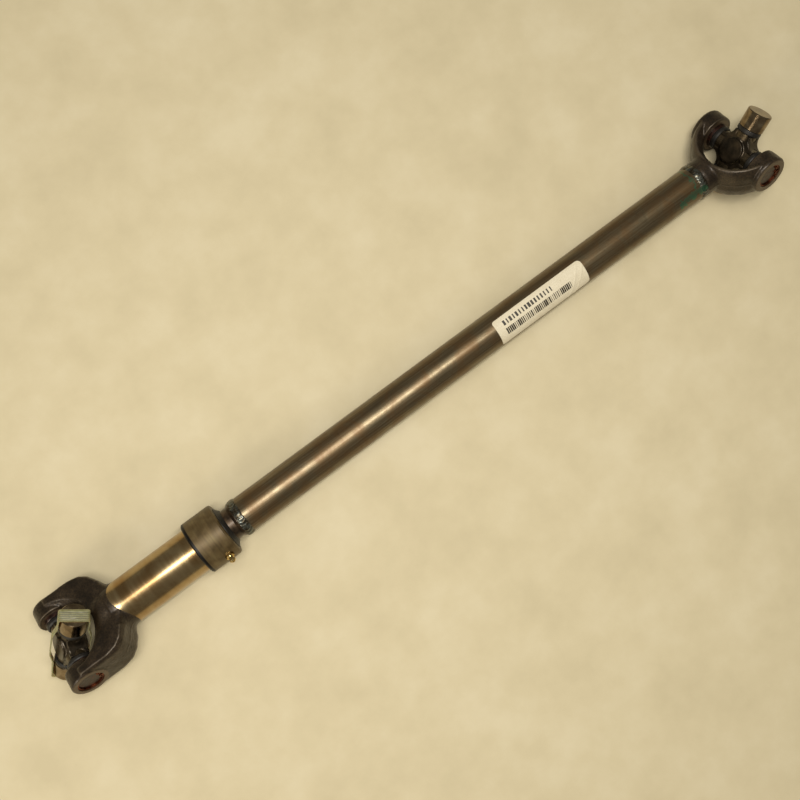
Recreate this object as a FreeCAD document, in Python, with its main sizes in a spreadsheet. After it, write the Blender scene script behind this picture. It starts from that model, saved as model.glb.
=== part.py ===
"""A telescoping shaft with a universal joint at each end, modelled as separate pieces.

Frame: X runs along the shaft from the slip joint to the fixed joint, Z is up, and the
origin is the centre of the slip joint.  Both yokes are rolled about X by RollAngle, so
one ear of each points up and to -Y.  Each joint has its own frame (see joint_frame):
its Y is the axis of the ears, and its Z is square to the yoke.
"""
import FreeCAD, Part
import os
import Sketcher

doc = FreeCAD.newDocument("UniversalJointShaft")
sheet = doc.addObject("Spreadsheet::Sheet", "Dims")

DIMENSIONS = {
    # the whole shaft
    "JointSpacing": 849.6, "RollAngle": 30.0, "SlipTilt": 34.7, "FixedTilt": 41.1,
    # bearing cup, measured outwards from the middle of the cross
    "CupRadius": 13.5, "CupMouth": 27.0, "CupEnd": 46.05, "CupFloor": 3.2, "CupChamfer": 0.8,
    "RaceRadius": 10.51, "MouthRadius": 11.6, "MouthDepth": 2.6,
    # cross
    "JournalRadius": 8.1, "TrunnionEnd": 41.5, "RootRadius": 11.0, "RootEnd": 21.5,
    "HubRadius": 13.5, "HubHalf": 13.0, "WebHalf": 9.5, "WebHollow": 11.0, "OilHole": 2.0,
    # needle rollers
    "NeedleRadius": 1.16, "NeedleCircle": 9.305, "NeedleStart": 29.6, "NeedleEnd": 41.4,
    "NeedleCount": 24,
    # seal and thrust washer of a cup
    "SealStart": 21.8, "SealRadius": 13.2, "SealInsert": 11.5, "SealInsertEnd": 29.3,
    "SealBore": 8.2, "WasherStart": 41.6, "WasherRadius": 10.2, "WasherHole": 2.5,
    # ears and retaining rings
    "EarFace": 48.6, "EarInner": 31.0, "RingThickness": 1.5, "RingOuter": 14.2,
    "RingInner": 11.9, "GrooveRadius": 14.3, "GrooveWidth": 1.6,
    # weld yoke
    "WeldEarRadius": 20.5, "WeldOuter": 47.5, "WeldThroat": 35.5, "WeldHalf": 19.5,
    "WeldCrown": 48.3, "WeldHub": 19.6, "WeldHubEnd": 60.2, "WeldBevelStart": 11.0,
    "WeldBevelRadius": 41.5,
    "SpigotRadius": 16.0, "SpigotLength": 22.0,
    # slip yoke and its sleeve
    "SlipEarRadius": 19.0, "SlipThroat": 33.0, "SlipHalf": 21.0, "SlipCrown": 50.8,
    "SlipBevelStart": 11.0, "SlipBevelRadius": 39.5, "SlipBevelShift": 3.0,
    "SleeveRadius": 23.8, "SleeveStart": 58.0, "SleeveEnd": 178.5, "PlugSeat": 17.2,
    "PlugStart": 46.0, "PlugThickness": 2.0, "ReliefStart": 168.0, "ReliefRadius": 17.0,
    # spline
    "SplineCore": 14.95, "SplineTip": 16.6, "KeyFoot": 2.0, "KeyTip": 1.35, "SplineGap": 0.08,
    "KeyCount": 16, "SplineFront": 70.0, "SplineBack": 183.0, "NeckRadius": 16.7,
    # tube
    "TubeRadius": 19.05, "TubeWall": 3.05, "TubeStart": 203.0, "TubeEnd": 789.4,
    "BeadHeight": 1.0, "BeadHalf": 4.4,
    # dust cap, seal and nipple
    "CapRadius": 28.6, "CapStart": 150.0, "CapEnd": 185.0, "CapLip": 23.2, "CapLipWidth": 1.8,
    "CapRound": 2.6, "CapChamfer": 1.2, "CapWasher": 1.0, "DustSealBore": 16.8,
    "SealNose": 18.6, "SealNoseLength": 4.2,
    "NippleStation": 173.5, "NippleLean": 55.0, "NippleSeat": 28.2, "NippleThread": 3.0,
    "NippleFoot": 22.5, "NippleFlats": 8.0, "NippleTip": 37.6, "NippleHead": 3.2,
    "NippleBore": 1.3, "BallRadius": 1.1, "SpringWire": 0.3,
    # paper label and cup strap
    "LabelStart": 519.5, "LabelEnd": 632.5, "LabelThickness": 0.15, "LabelAngle": 91.5,
    "LabelLean": 24.2, "StrapHalfWidth": 6.7, "StrapThickness": 0.8, "StrapGap": 0.3,
    "StrapBow": 17.7, "StrapBowHalf": 15.0, "StrapTwist": -23.5,
    "StrapShift": -1.6,
}


def fill_sheet():
    for row, (alias, value) in enumerate(DIMENSIONS.items(), start=1):
        sheet.set(f"A{row}", alias)
        sheet.set(f"B{row}", str(value))
        sheet.setAlias(f"B{row}", alias)
    doc.recompute()


def size(alias):
    return float(getattr(sheet, alias))


def link(text):
    """Turn plain cell names in a formula into references to the sheet."""
    words = text.replace("(", " ( ").replace(")", " ) ").split()
    return " ".join(f"Dims.{word}" if word in DIMENSIONS else word for word in words)


X_AXIS = FreeCAD.Vector(1, 0, 0)
Y_AXIS = FreeCAD.Vector(0, 1, 0)
Z_AXIS = FreeCAD.Vector(0, 0, 1)
ORIGIN = FreeCAD.Vector(0, 0, 0)
SUB_PARTS = []


def turn(axis, degrees, base=ORIGIN):
    return FreeCAD.Placement(base, FreeCAD.Rotation(axis, degrees))


def keep(item, label, placement):
    """Name a finished sub-part, put it in its place and list it for export."""
    item.Label = label
    item.Placement = placement
    SUB_PARTS.append(item)


# ---------------------------------------------------------------- sketches and features

def new_body(name):
    return doc.addObject("PartDesign::Body", name)


def plane_of(body, role):
    return next(item for item in body.Origin.OriginFeatures if item.Role == role)


def new_sketch(body, role, name):
    sketch = body.newObject("Sketcher::SketchObject", name)
    sketch.AttachmentSupport = (plane_of(body, role), "")
    sketch.MapMode = "FlatFace"
    return sketch


def pin_point(sketch, edge, end, along, formula):
    """Hold one coordinate of a sketch point at a formula of sheet cells."""
    if formula == "0":
        axis = -2 if along == "DistanceX" else -1
        sketch.addConstraint(Sketcher.Constraint("PointOnObject", edge, end, axis))
        return
    point = sketch.getPoint(edge, end)
    value = point.x if along == "DistanceX" else point.y
    index = sketch.addConstraint(Sketcher.Constraint(along, -1, 1, edge, end, value))
    sketch.setExpression(f"Constraints[{index}]", link(formula))


def worth(formula):
    """The number that a formula of sheet cells stands for."""
    scratch = [str(size(word)) if word in DIMENSIONS else word
               for word in formula.replace("(", " ( ").replace(")", " ) ").split()]
    return FreeCAD.Units.Quantity(" ".join(scratch)).Value


def outline(sketch, corners):
    """Draw a closed run of straight lines through corners, each a pair of formulas."""
    points = [FreeCAD.Vector(worth(across), worth(up), 0) for across, up in corners]
    first = sketch.GeometryCount
    for start, end in zip(points, points[1:] + points[:1]):
        sketch.addGeometry(Part.LineSegment(start, end))
    count = len(corners)
    for index in range(count):
        following = first + (index + 1) % count
        sketch.addConstraint(Sketcher.Constraint("Coincident", first + index, 2, following, 1))
    for index, (across, up) in enumerate(corners):
        pin_point(sketch, first + index, 1, "DistanceX", across)
        pin_point(sketch, first + index, 1, "DistanceY", up)


def circle(sketch, formula, centre=(0.0, 0.0)):
    middle = FreeCAD.Vector(centre[0], centre[1], 0)
    edge = sketch.addGeometry(Part.Circle(middle, Z_AXIS, worth(formula)))
    index = sketch.addConstraint(Sketcher.Constraint("Radius", edge, worth(formula)))
    sketch.setExpression(f"Constraints[{index}]", link(formula))
    return edge


def centred_circle(sketch, formula):
    edge = circle(sketch, formula)
    sketch.addConstraint(Sketcher.Constraint("Coincident", edge, 3, -1, 1))
    return edge


def turned_body(name, corners, angle="360"):
    """A body turned about its own Z: corners are (radius, height) formulas."""
    body = new_body(name)
    sketch = new_sketch(body, "XZ_Plane", name + "_profile")
    outline(sketch, corners)
    revolution = body.newObject("PartDesign::Revolution", name + "_turned")
    revolution.Profile = sketch
    revolution.ReferenceAxis = (sketch, ["V_Axis"])
    revolution.Angle = worth(angle)
    if angle != "360":
        revolution.setExpression("Angle", link(angle))
        revolution.Midplane = True
    doc.recompute()
    return body


def ring_body(name, inner, outer, start, end):
    return turned_body(name, [(inner, start), (outer, start), (outer, end), (inner, end)])


def pad(body, sketch, formula, symmetric=False, backwards=False):
    feature = body.newObject("PartDesign::Pad", sketch.Name + "_pad")
    feature.Profile = sketch
    feature.Length = worth(formula)
    feature.setExpression("Length", link(formula))
    feature.Midplane = symmetric
    feature.Reversed = backwards
    doc.recompute()
    return feature


def pattern(body, feature, count, axis_role="Z_Axis"):
    """Repeat a feature evenly about the body's own Z axis."""
    polar = body.newObject("PartDesign::PolarPattern", feature.Name + "_pattern")
    polar.Originals = [feature]
    polar.Axis = (plane_of(body, axis_role), [""])
    polar.Angle = 360
    polar.Occurrences = int(size(count))
    body.Tip = polar
    doc.recompute()
    return polar


def cylinder(name, radius, height, placement=None):
    shape = doc.addObject("Part::Cylinder", name)
    shape.setExpression("Radius", link(radius))
    shape.setExpression("Height", link(height))
    shape.Placement = placement or FreeCAD.Placement()
    return shape


def through_cylinder(name, radius, axis, half):
    """A cylinder through the joint's middle along an axis, half long each way."""
    spin = FreeCAD.Rotation(Z_AXIS, axis)
    start = FreeCAD.Vector(axis).multiply(-worth(half))
    return cylinder(name, radius, f"2 * ( {half} )", FreeCAD.Placement(start, spin))


def extruded(name, corners, plane, half):
    """A straight-sided prism, half thick each way from a plane through the origin."""
    body = new_body(name)
    sketch = new_sketch(body, plane, name + "_outline")
    outline(sketch, corners)
    pad(body, sketch, f"2 * ( {half} )", symmetric=True)
    return body


def fuse(name, *items):
    feature = doc.addObject("Part::MultiFuse", name)
    feature.Shapes = list(items)
    return feature


def cut(name, base, tool):
    feature = doc.addObject("Part::Cut", name)
    feature.Base = base
    feature.Tool = tool
    return feature


def common(name, base, tool):
    feature = doc.addObject("Part::MultiCommon", name)
    feature.Shapes = [base, tool]
    return feature


# ---------------------------------------------------------------------- joint frames

def joint_frame(joint):
    station = size("JointSpacing") if joint == "fixed" else 0.0
    return turn(X_AXIS, -size("RollAngle"), FreeCAD.Vector(station, 0, 0))


def cross_frame(joint):
    tilt = size("FixedTilt" if joint == "fixed" else "SlipTilt")
    return joint_frame(joint) * turn(Y_AXIS, tilt)


# A turned piece of a trunnion points along +Z; these turn it onto its trunnion.
TRUNNIONS = {
    "ear_upper": turn(X_AXIS, 90),
    "ear_lower": turn(X_AXIS, -90),
    "free_upper": turn(X_AXIS, 0),
    "free_lower": turn(X_AXIS, 180),
}


# ------------------------------------------------------------------- the two joints

def bearing_cup(name):
    return turned_body(name, [
        ("0", "CupEnd - CupFloor"),
        ("RaceRadius", "CupEnd - CupFloor"),
        ("RaceRadius", "CupMouth + MouthDepth"),
        ("MouthRadius", "CupMouth + MouthDepth"),
        ("MouthRadius", "CupMouth"),
        ("CupRadius - CupChamfer", "CupMouth"),
        ("CupRadius", "CupMouth + CupChamfer"),
        ("CupRadius", "CupEnd - CupChamfer"),
        ("CupRadius - CupChamfer", "CupEnd"),
        ("0", "CupEnd"),
    ])


def cup_seal(name):
    """A rubber ring: a flange outside the cup's mouth and a lip inside it."""
    return turned_body(name, [
        ("SealBore", "SealStart"),
        ("SealRadius - 1.2", "SealStart"),
        ("SealRadius", "SealStart + 1.4"),
        ("SealRadius", "CupMouth - 1.2"),
        ("SealRadius - 0.8", "CupMouth"),
        ("SealInsert", "CupMouth"),
        ("SealInsert", "SealInsertEnd"),
        ("SealBore", "SealInsertEnd"),
    ])


def thrust_washer(name):
    return ring_body(name, "WasherHole", "WasherRadius", "WasherStart", "CupEnd - CupFloor")


def needle_set(name):
    """The loose needle rollers of one cup, standing round the journal."""
    body = new_body(name)
    body.AllowCompound = True
    sketch = new_sketch(body, "XY_Plane", name + "_end")
    edge = circle(sketch, "NeedleRadius", (size("NeedleCircle"), 0.0))
    sketch.addConstraint(Sketcher.Constraint("PointOnObject", edge, 3, -1))
    pin_point(sketch, edge, 3, "DistanceX", "NeedleCircle")
    sketch.AttachmentOffset = FreeCAD.Placement(FreeCAD.Vector(0, 0, size("NeedleStart")),
                                                FreeCAD.Rotation())
    sketch.setExpression("AttachmentOffset.Base.z", link("NeedleStart"))
    needle = pad(body, sketch, "NeedleEnd - NeedleStart")
    pattern(body, needle, "NeedleCount")
    return body


def retaining_ring(name):
    """An open spring ring with two drilled lugs at its gap."""
    plate = ring_body(name + "_plate", "RingInner", "RingOuter", "CupEnd",
                      "CupEnd + RingThickness")
    height = size("CupEnd")
    gap = doc.addObject("Part::Box", name + "_gap")
    gap.Length = 8.0
    gap.Width = 3.0
    gap.setExpression("Height", link("RingThickness"))
    gap.Placement.Base = FreeCAD.Vector(size("RingInner") - 4.0, -1.5, height)
    opened = cut(name + "_open", plate, gap)
    lugs = []
    for side in (1, -1):
        lug_middle = FreeCAD.Vector(size("RingInner") - 1.6, side * 3.6, height)
        lug = cylinder(f"{name}_lug{side + 2}", "2.1", "RingThickness",
                       FreeCAD.Placement(lug_middle, FreeCAD.Rotation()))
        hole = cylinder(f"{name}_eye{side + 2}", "0.9", "RingThickness",
                        FreeCAD.Placement(lug_middle, FreeCAD.Rotation()))
        lugs.append((lug, hole))
    solid = fuse(name + "_lugged", opened, *[lug for lug, hole in lugs])
    return cut(name + "_ring", solid, fuse(name + "_eyes", *[hole for lug, hole in lugs]))


def joint_cross(joint):
    """Four trunnions on a central disc, with webs that fill the corners between them."""
    name = joint + "_cross"
    web = doc.addObject("Part::Box", name + "_web")
    web.setExpression("Length", link("2 * WebHalf"))
    web.setExpression("Width", link("2 * RootEnd"))
    web.setExpression("Height", link("2 * RootEnd"))
    reach = size("RootEnd")
    web.Placement.Base = FreeCAD.Vector(-size("WebHalf"), -reach, -reach)
    hollows = []
    for number, (across, up) in enumerate(((1, 1), (1, -1), (-1, 1), (-1, -1))):
        start = FreeCAD.Vector(-size("WebHalf") - 1, across * reach, up * reach)
        hollows.append(cylinder(f"{name}_hollow{number}", "WebHollow", "2 * WebHalf + 2",
                                turn(Y_AXIS, 90, start)))
    body = cut(name + "_web_hollowed", web, fuse(name + "_hollows", *hollows))
    parts = [body, through_cylinder(name + "_disc", "HubRadius", X_AXIS, "HubHalf")]
    for axis, word in ((Y_AXIS, "ear"), (Z_AXIS, "free")):
        parts.append(through_cylinder(f"{name}_{word}_root", "RootRadius", axis, "RootEnd"))
        parts.append(through_cylinder(f"{name}_{word}_pin", "JournalRadius", axis, "TrunnionEnd"))
    solid = fuse(name + "_solid", *parts)
    holes = [through_cylinder(f"{name}_{word}_oil", "OilHole", axis, "TrunnionEnd")
             for axis, word in ((Y_AXIS, "ear"), (Z_AXIS, "free"))]
    cross = cut(name + "_drilled", solid, fuse(name + "_oil", *holes))
    keep(cross, name, cross_frame(joint))


def joint_bearings(joint):
    """The cup, seal, washer and needles on each trunnion, and the rings in the ears."""
    for trunnion, onto in TRUNNIONS.items():
        place = cross_frame(joint) * onto
        for word, maker in (("cup", bearing_cup), ("seal", cup_seal),
                            ("washer", thrust_washer), ("needles", needle_set)):
            label = f"{joint}_{word}_{trunnion}"
            keep(maker(label + "_body"), label, place)
    for ear in ("ear_upper", "ear_lower"):
        label = f"{joint}_snap_ring_{ear[4:]}"
        keep(retaining_ring(label), label, joint_frame(joint) * TRUNNIONS[ear])


# ------------------------------------------------------------------------- the yokes

def ear_pair(name, radius):
    """Two bosses on the ear axis, from the ears' inner faces to their outer faces."""
    bosses = []
    for side, onto in (("a", TRUNNIONS["ear_upper"]), ("b", TRUNNIONS["ear_lower"])):
        boss = turned_body(f"{name}_boss_{side}", [
            ("0", "EarInner"), (radius, "EarInner"), (radius, "EarFace - 2"),
            (f"{radius} - 1.2", "EarFace"), ("0", "EarFace")])
        boss.Placement = onto
        bosses.append(boss)
    return bosses


def ear_bores(name):
    """The bored hole right through both ears, with a ring groove near each face."""
    half = ["0", "CupRadius"]
    groove_end = "CupEnd + GrooveWidth"
    tools = []
    for side, onto in (("a", TRUNNIONS["ear_upper"]), ("b", TRUNNIONS["ear_lower"])):
        tool = turned_body(f"{name}_bore_{side}", [
            (half[0], "EarInner - 12"), (half[1], "EarInner - 12"), (half[1], "CupEnd"),
            ("GrooveRadius", "CupEnd"), ("GrooveRadius", groove_end), (half[1], groove_end),
            (half[1], "EarFace - 0.5"), (f"{half[1]} + 0.6", "EarFace + 0.1"),
            (half[0], "EarFace + 0.1")])
        tool.Placement = onto
        tools.append(tool)
    return tools


def crowned(name, blank, crown):
    """Round the outside of a blank with a sphere about the joint's middle."""
    sphere = doc.addObject("Part::Sphere", name + "_crown")
    sphere.setExpression("Radius", link(crown))
    return common(name + "_crowned", blank, sphere)


def throat_bevels(name, throat, rim, start, half, shift=0.0):
    """Cones that widen a throat from start to its rim, towards each face of the yoke."""
    bevels = []
    for side, spin in (("a", 0), ("b", 180)):
        bevel = doc.addObject("Part::Cone", f"{name}_bevel_{side}")
        bevel.setExpression("Radius1", link(throat))
        bevel.setExpression("Radius2", link(f"2 * {rim} - {throat}"))
        bevel.setExpression("Height", link(f"2 * ( {half} - {start} )"))
        middle = FreeCAD.Vector(-shift, 0, size(start))
        bevel.Placement = turn(X_AXIS, spin) * FreeCAD.Placement(middle, FreeCAD.Rotation())
        bevels.append(bevel)
    return bevels


def weld_yoke():
    """The fixed joint's yoke: a round bowl with two ears and a spigot for the tube."""
    name = "weld_yoke"
    bowl = through_cylinder(name + "_bowl", "WeldOuter", Z_AXIS, "WeldHalf")
    front = doc.addObject("Part::Box", name + "_front")
    front.Placement.Base = FreeCAD.Vector(-60, -60, -30)
    front.Length = 60
    front.Width = 120
    front.Height = 60
    rounded = crowned(name, cut(name + "_half_bowl", bowl, front), "WeldCrown")
    hub = turned_body(name + "_hub", [
        ("0", "WeldThroat - 4"), ("WeldHub", "WeldThroat - 4"), ("WeldHub", "WeldHubEnd - 6"),
        ("TubeRadius", "WeldHubEnd - 5"), ("TubeRadius", "WeldHubEnd - 1.6"),
        ("SpigotRadius", "WeldHubEnd - 0.2"), ("SpigotRadius", "WeldHubEnd + SpigotLength - 1"),
        ("SpigotRadius - 1", "WeldHubEnd + SpigotLength"), ("0", "WeldHubEnd + SpigotLength")])
    hub.Placement = turn(Y_AXIS, 90)
    throat = through_cylinder(name + "_throat", "WeldThroat", Z_AXIS, "WeldHalf + 5")
    bevels = throat_bevels(name, "WeldThroat", "WeldBevelRadius", "WeldBevelStart", "WeldHalf")
    hollow = cut(name + "_hollow", fuse(name + "_base", rounded, hub),
                 fuse(name + "_throat_tools", throat, *bevels))
    ears = fuse(name + "_eared", hollow, *ear_pair(name, "WeldEarRadius"))
    tools = fuse(name + "_tools", *ear_bores(name))
    yoke = cut(name + "_finished", ears, tools)
    keep(yoke, name, joint_frame("fixed") * turn(Z_AXIS, 180))


def spline_prism(name, gap, start, end):
    """A splined bar along Z: a core with evenly spaced tapered keys, grown by a gap."""
    body = new_body(name)
    core = new_sketch(body, "XY_Plane", name + "_core")
    centred_circle(core, f"SplineCore + {gap}")
    key = new_sketch(body, "XY_Plane", name + "_key")
    outline(key, [
        (f"SplineCore - 1", f"0 - KeyFoot - {gap}"), (f"SplineTip + {gap}", f"0 - KeyTip - {gap}"),
        (f"SplineTip + {gap}", f"KeyTip + {gap}"), (f"SplineCore - 1", f"KeyFoot + {gap}")])
    for sketch in (core, key):
        sketch.setExpression("AttachmentOffset.Base.z", link(start))
        last = pad(body, sketch, f"{end} - {start}")
    pattern(body, last, "KeyCount")
    return body


def slip_yoke():
    """The slip joint's yoke, one piece with its splined sleeve."""
    name = "slip_yoke"
    arms = extruded(name + "_arms", [
        ("0", "0 - EarFace + 0.6"), ("31", "0 - EarFace + 0.6"), ("41", "0 - 46"),
        ("48.5", "0 - 40.5"), ("53.5", "0 - 33"), ("57", "0 - 27"), ("SleeveStart + 2", "0 - 24"),
        ("SleeveStart + 2", "24"), ("57", "27"), ("53.5", "33"), ("48.5", "40.5"),
        ("41", "46"), ("31", "EarFace - 0.6"), ("0", "EarFace - 0.6")],
        "XY_Plane", "SlipHalf")
    envelope = turned_body(name + "_envelope", [
        ("0", "0"), ("SlipCrown", "0"), ("SlipCrown", "30"), ("SlipCrown - 2.5", "41"),
        ("43", "48.5"), ("35.5", "54"), ("28.5", "57.5"), ("24.6", "SleeveStart + 2"),
        ("0", "SleeveStart + 2")])
    envelope.Placement = turn(Y_AXIS, 90)
    forged = common(name + "_forged", arms, envelope)
    sleeve = turned_body(name + "_sleeve", [
        ("0", "SleeveStart - 18"), ("SleeveRadius", "SleeveStart - 18"),
        ("SleeveRadius", "SleeveEnd"), ("0", "SleeveEnd")])
    sleeve.Placement = turn(Y_AXIS, 90)
    throat = through_cylinder(name + "_throat", "SlipThroat", Z_AXIS, "SlipHalf + 6")
    bevels = throat_bevels(name, "SlipThroat", "SlipBevelRadius", "SlipBevelStart", "SlipHalf",
                           size("SlipBevelShift"))
    hollow = cut(name + "_hollow", fuse(name + "_blank", forged, sleeve),
                 fuse(name + "_throat_tools", throat, *bevels))
    eared = fuse(name + "_eared", hollow, *ear_pair(name, "SlipEarRadius"))
    spline = spline_prism(name + "_spline", "SplineGap", "PlugStart", "SleeveEnd + 1")
    spline.Placement = turn(Y_AXIS, 90)
    seat = cylinder(name + "_plug_seat", "PlugSeat", "PlugStart + PlugThickness - 20",
                    turn(Y_AXIS, 90, FreeCAD.Vector(20, 0, 0)))
    relief = cylinder(name + "_relief", "ReliefRadius", "SleeveEnd + 1 - ReliefStart",
                      turn(Y_AXIS, 90, FreeCAD.Vector(size("ReliefStart"), 0, 0)))
    bores = fuse(name + "_bores", *ear_bores(name), spline, seat, relief, nipple_hole(name))
    keep(cut(name + "_finished", eared, bores), name, joint_frame("slip"))


# ------------------------------------------------------ dust cap, nipple and sleeve end

def nipple_frame():
    """The nipple's own frame: Z points out of the collar, at its station on the shaft."""
    station = FreeCAD.Vector(size("NippleStation"), 0, 0)
    return turn(X_AXIS, size("NippleLean"), station)


def nipple_hole(name):
    """The nipple's tapped hole and the fine hole below it, in the frame of a yoke."""
    hole = turned_body(name + "_nipple_hole", [
        ("0", "12"), ("1.5", "12"), ("1.5", "NippleFoot"), ("NippleThread", "NippleFoot"),
        ("NippleThread", "NippleSeat + 4"), ("0", "NippleSeat + 4")])
    hole.Placement = joint_frame("slip").inverse() * nipple_frame()
    return hole


def along_shaft(station=0.0):
    return turn(Y_AXIS, 90, FreeCAD.Vector(station, 0, 0))


def dust_cap():
    """A turned collar on the end of the sleeve, with a rounded lip over the seal."""
    name = "dust_cap"
    blank = turned_body(name + "_blank", [
        ("SleeveRadius", "CapStart"), ("CapRadius - CapChamfer", "CapStart"),
        ("CapRadius", "CapStart + CapChamfer"), ("CapRadius", "CapEnd - CapRound"),
        ("CapRadius - 0.8", "CapEnd - 0.8"), ("CapRadius - CapRound", "CapEnd"),
        ("CapLip", "CapEnd"), ("CapLip", "CapEnd - CapLipWidth"),
        ("SleeveRadius", "CapEnd - CapLipWidth")])
    blank.Placement = along_shaft()
    hole = turned_body(name + "_hole", [
        ("0", "20"), ("NippleThread", "20"), ("NippleThread", "NippleSeat"),
        ("5", "NippleSeat"), ("5", "NippleSeat + 4"), ("0", "NippleSeat + 4")])
    hole.Placement = nipple_frame()
    keep(cut(name + "_drilled", blank, hole), name, FreeCAD.Placement())


def sleeve_end_rings():
    washer_end = "SleeveEnd + CapWasher"
    washer = ring_body("seal_washer_body", "NeckRadius + 0.6", "SleeveRadius", "SleeveEnd",
                       washer_end)
    keep(washer, "seal_washer", along_shaft())
    seal = turned_body("dust_seal_body", [
        ("DustSealBore", washer_end), ("SleeveRadius", washer_end),
        ("SleeveRadius", "CapEnd - CapLipWidth"), ("CapLip", "CapEnd - CapLipWidth"),
        ("CapLip", "CapEnd + 0.5"), ("SealNose + 2.6", "CapEnd + 1.7"),
        ("SealNose", "CapEnd + SealNoseLength - 0.6"),
        ("SealNose - 0.8", "CapEnd + SealNoseLength"),
        ("DustSealBore", "CapEnd + SealNoseLength")])
    keep(seal, "dust_seal", along_shaft())


def core_plug():
    """A dished disc that closes the sleeve's bore at the yoke."""
    plug = turned_body("core_plug_body", [
        ("0", "PlugStart - 1.6"), ("PlugSeat - 5", "PlugStart - 0.8"), ("PlugSeat", "PlugStart"),
        ("PlugSeat", "PlugStart + PlugThickness"),
        ("PlugSeat - 5", "PlugStart + PlugThickness - 0.8"),
        ("0", "PlugStart + PlugThickness - 1.6")])
    keep(plug, "core_plug", along_shaft())


def grease_nipple():
    """A hexagon with a thread below it and a round head above, bored for the ball."""
    name = "grease_nipple"
    stem = turned_body(name + "_stem", [
        ("0", "NippleFoot + 0.2"), ("NippleThread", "NippleFoot + 0.2"),
        ("NippleThread", "NippleSeat"), ("NippleThread", "NippleSeat + 3"), ("2.4", "NippleSeat + 4"),
        ("2.1", "NippleTip - 3.6"), ("NippleHead", "NippleTip - 2.6"),
        ("NippleHead", "NippleTip - 1.4"), ("1.6", "NippleTip"), ("0", "NippleTip")])
    hexagon = doc.addObject("Part::Prism", name + "_hexagon")
    hexagon.Polygon = 6
    hexagon.setExpression("Circumradius", link("NippleFlats") + " / 1.7320508")
    hexagon.Height = 3.0
    hexagon.Placement.Base = FreeCAD.Vector(0, 0, size("NippleSeat"))
    bore = turned_body(name + "_bore", [
        ("0", "NippleFoot - 1"), ("NippleBore", "NippleFoot - 1"),
        ("NippleBore", "NippleTip - 1.2"), ("0.7", "NippleTip - 0.5"),
        ("0.7", "NippleTip + 1"), ("0", "NippleTip + 1")])
    keep(cut(name + "_bored", fuse(name + "_solid", stem, hexagon), bore), name, nipple_frame())


def nipple_ball():
    ball = doc.addObject("Part::Sphere", "nipple_ball_sphere")
    ball.setExpression("Radius", link("BallRadius"))
    seat = FreeCAD.Vector(0, 0, size("NippleTip") - 1.9)
    keep(ball, "nipple_ball", nipple_frame() * FreeCAD.Placement(seat, FreeCAD.Rotation()))


def nipple_spring():
    """The coil under the ball, at the length it has with the ball pressed in."""
    top = size("NippleTip") - 1.9 - size("BallRadius") - 0.9
    turns = 6
    height = 4.2
    coil_radius = size("BallRadius") - 0.2
    wire = size("SpringWire") / 2
    helix = Part.makeHelix(height / turns, height, coil_radius)
    section = Part.Wire([Part.makeCircle(wire, FreeCAD.Vector(coil_radius, 0, 0), Y_AXIS)])
    spring = doc.addObject("Part::Feature", "nipple_spring_coil")
    spring.Shape = Part.Wire(helix).makePipeShell([section], True, True)
    foot = FreeCAD.Vector(0, 0, top - height)
    keep(spring, "nipple_spring", nipple_frame() * FreeCAD.Placement(foot, FreeCAD.Rotation()))


# ------------------------------------------------------------- tube, stub and welds

def spline_stub():
    """The splined stub shaft: keys in the sleeve, a plain neck and a spigot in the tube."""
    name = "spline_stub"
    keys = spline_prism(name + "_keys", "0", "SplineFront", "SplineBack")
    neck = turned_body(name + "_neck", [
        ("0", "SplineBack - 2"), ("SplineCore", "SplineBack - 2"), ("NeckRadius", "SplineBack"),
        ("NeckRadius", "TubeStart - 7.5"), ("TubeRadius", "TubeStart - 4.5"),
        ("TubeRadius", "TubeStart - 1"), ("TubeRadius - TubeWall", "TubeStart"),
        ("TubeRadius - TubeWall", "TubeStart + SpigotLength"), ("0", "TubeStart + SpigotLength")])
    rolled = turn(X_AXIS, -size("RollAngle"))
    keep(fuse(name + "_whole", keys, neck), name, rolled * along_shaft())


def shaft_tube():
    inner = "TubeRadius - TubeWall"
    tube = turned_body("shaft_tube_body", [
        (inner, "TubeStart"), ("TubeRadius - 1.2", "TubeStart"), ("TubeRadius", "TubeStart + 1.2"),
        ("TubeRadius", "TubeEnd - 1.2"), ("TubeRadius - 1.2", "TubeEnd"), (inner, "TubeEnd")])
    keep(tube, "shaft_tube", along_shaft())


def weld_beads():
    """A low round bead over each end of the tube, where it is welded on."""
    for label, middle in (("weld_bead_stub", "TubeStart"), ("weld_bead_yoke", "TubeEnd")):
        bead = turned_body(label + "_body", [
            ("TubeRadius", f"{middle} - BeadHalf"),
            ("TubeRadius + 0.7 * BeadHeight", f"{middle} - 0.6 * BeadHalf"),
            ("TubeRadius + BeadHeight", f"{middle} - 0.15 * BeadHalf"),
            ("TubeRadius + BeadHeight", f"{middle} + 0.15 * BeadHalf"),
            ("TubeRadius + 0.7 * BeadHeight", f"{middle} + 0.6 * BeadHalf"),
            ("TubeRadius", f"{middle} + BeadHalf")])
        keep(bead, label, along_shaft())


def part_label():
    label = turned_body("part_label_body", [
        ("TubeRadius", "LabelStart"), ("TubeRadius + LabelThickness", "LabelStart"),
        ("TubeRadius + LabelThickness", "LabelEnd"), ("TubeRadius", "LabelEnd")], "LabelAngle")
    upright = turn(X_AXIS, size("LabelLean")) * along_shaft() * turn(Z_AXIS, 180)
    keep(label, "part_label", upright)


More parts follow.
